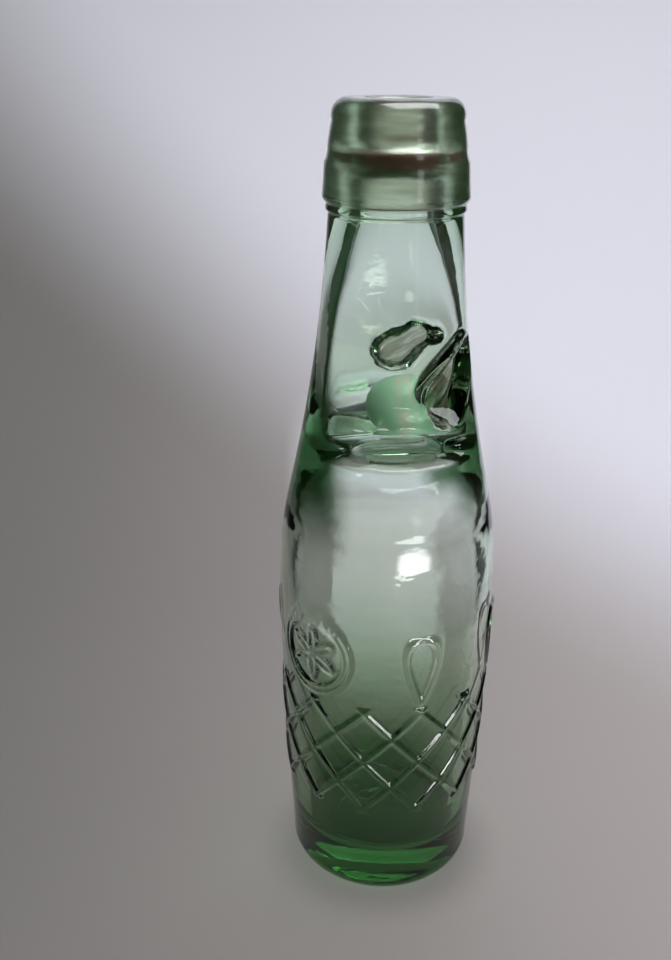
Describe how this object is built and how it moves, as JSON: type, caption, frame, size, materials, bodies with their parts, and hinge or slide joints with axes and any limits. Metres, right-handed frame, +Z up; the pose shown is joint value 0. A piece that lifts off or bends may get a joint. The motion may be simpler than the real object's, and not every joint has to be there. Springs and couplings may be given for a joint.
{
  "type": "marble stopper bottle",
  "caption": "Pinched-neck soda bottle of pale green pressed glass, closed from inside by a loose glass marble that seals against a rubber ring in the applied lip.",
  "frame": {"origin": "centre of the base, on the surface that the bottle stands on", "axes": "+Z up along the bottle, -Y towards the front pinch as pictured, +X towards the side with the two lugs"},
  "size_m": [0.0628, 0.0628, 0.23],
  "materials": {
    "bottle_glass": "pale green pressed glass, glossy and slightly wavy",
    "lip_glass": "pale green tooled glass, glossy",
    "marble_glass": "deeper green glass with worn sheen",
    "ring_rubber": "aged red-brown rubber, matt"
  },
  "bodies": {
    "bottle": {"bottle_body": "bottle_glass", "applied_lip": "lip_glass", "rubber_ring": "ring_rubber"},
    "marble": {"marble": "marble_glass"}
  },
  "joints": [
    {"name": "marble_travel", "type": "slide", "parent": "bottle", "child": "marble", "axis": [-0.0632, -0.0066, 0.998], "range_m": [0, 0.05824]}
  ]
}
